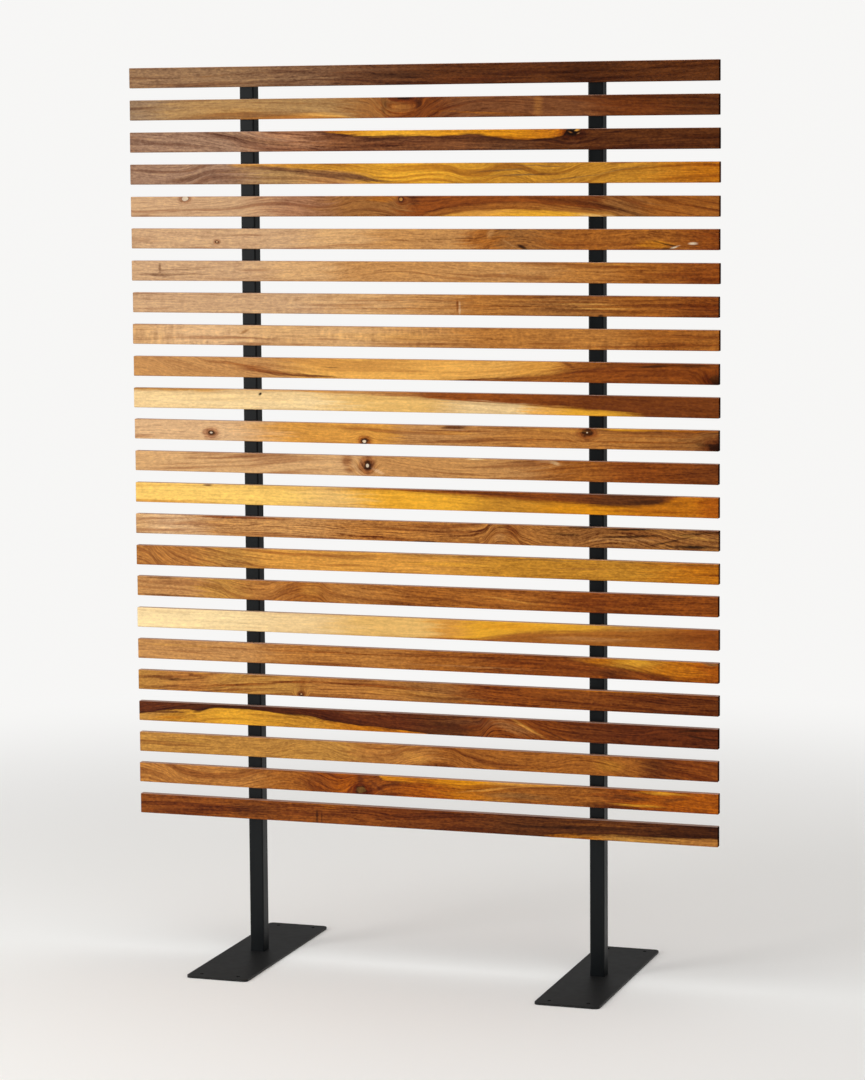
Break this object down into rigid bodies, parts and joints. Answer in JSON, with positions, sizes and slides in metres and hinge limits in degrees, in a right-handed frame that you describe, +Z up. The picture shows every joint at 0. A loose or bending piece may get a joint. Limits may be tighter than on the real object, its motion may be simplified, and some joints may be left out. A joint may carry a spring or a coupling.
{
  "type": "garden privacy screen",
  "caption": "Free-standing garden screen of level hardwood slats screwed to square black steel posts, each on a flat steel base plate with anchor holes.",
  "frame": {"origin": "on the floor, midway between the posts, at the middle of the base plates' depth", "axes": "+X along the slats to the right as seen from the front, +Y from the front to the back, +Z up"},
  "size_m": [1.22, 0.475, 1.807],
  "materials": {
    "slat_wood": "oiled hardwood with strong brown and golden figure, satin",
    "black_steel": "fine black powder coat, satin",
    "black_plastic": "moulded black plastic, matt",
    "bare_steel": "plain machined steel, not seen when assembled",
    "black_fastener": "black oxide screws and bolts"
  },
  "bodies": {
    "root": {"slat_01": "slat_wood", "slat_02": "slat_wood", "slat_03": "slat_wood", "slat_04": "slat_wood", "slat_05": "slat_wood", "slat_06": "slat_wood", "slat_07": "slat_wood", "slat_08": "slat_wood", "slat_09": "slat_wood", "slat_10": "slat_wood", "slat_11": "slat_wood", "slat_12": "slat_wood", "slat_13": "slat_wood", "slat_14": "slat_wood", "slat_15": "slat_wood", "slat_16": "slat_wood", "slat_17": "slat_wood", "slat_18": "slat_wood", "slat_19": "slat_wood", "slat_20": "slat_wood", "slat_21": "slat_wood", "slat_22": "slat_wood", "slat_23": "slat_wood", "slat_24": "slat_wood", "post_left": "black_steel", "base_plate_left": "black_steel", "post_cap_left": "black_plastic", "foot_insert_left": "bare_steel", "base_bolts_left": "black_fastener", "slat_screws_left": "black_fastener", "post_right": "black_steel", "base_plate_right": "black_steel", "post_cap_right": "black_plastic", "foot_insert_right": "bare_steel", "base_bolts_right": "black_fastener", "slat_screws_right": "black_fastener"}
  },
  "joints": []
}
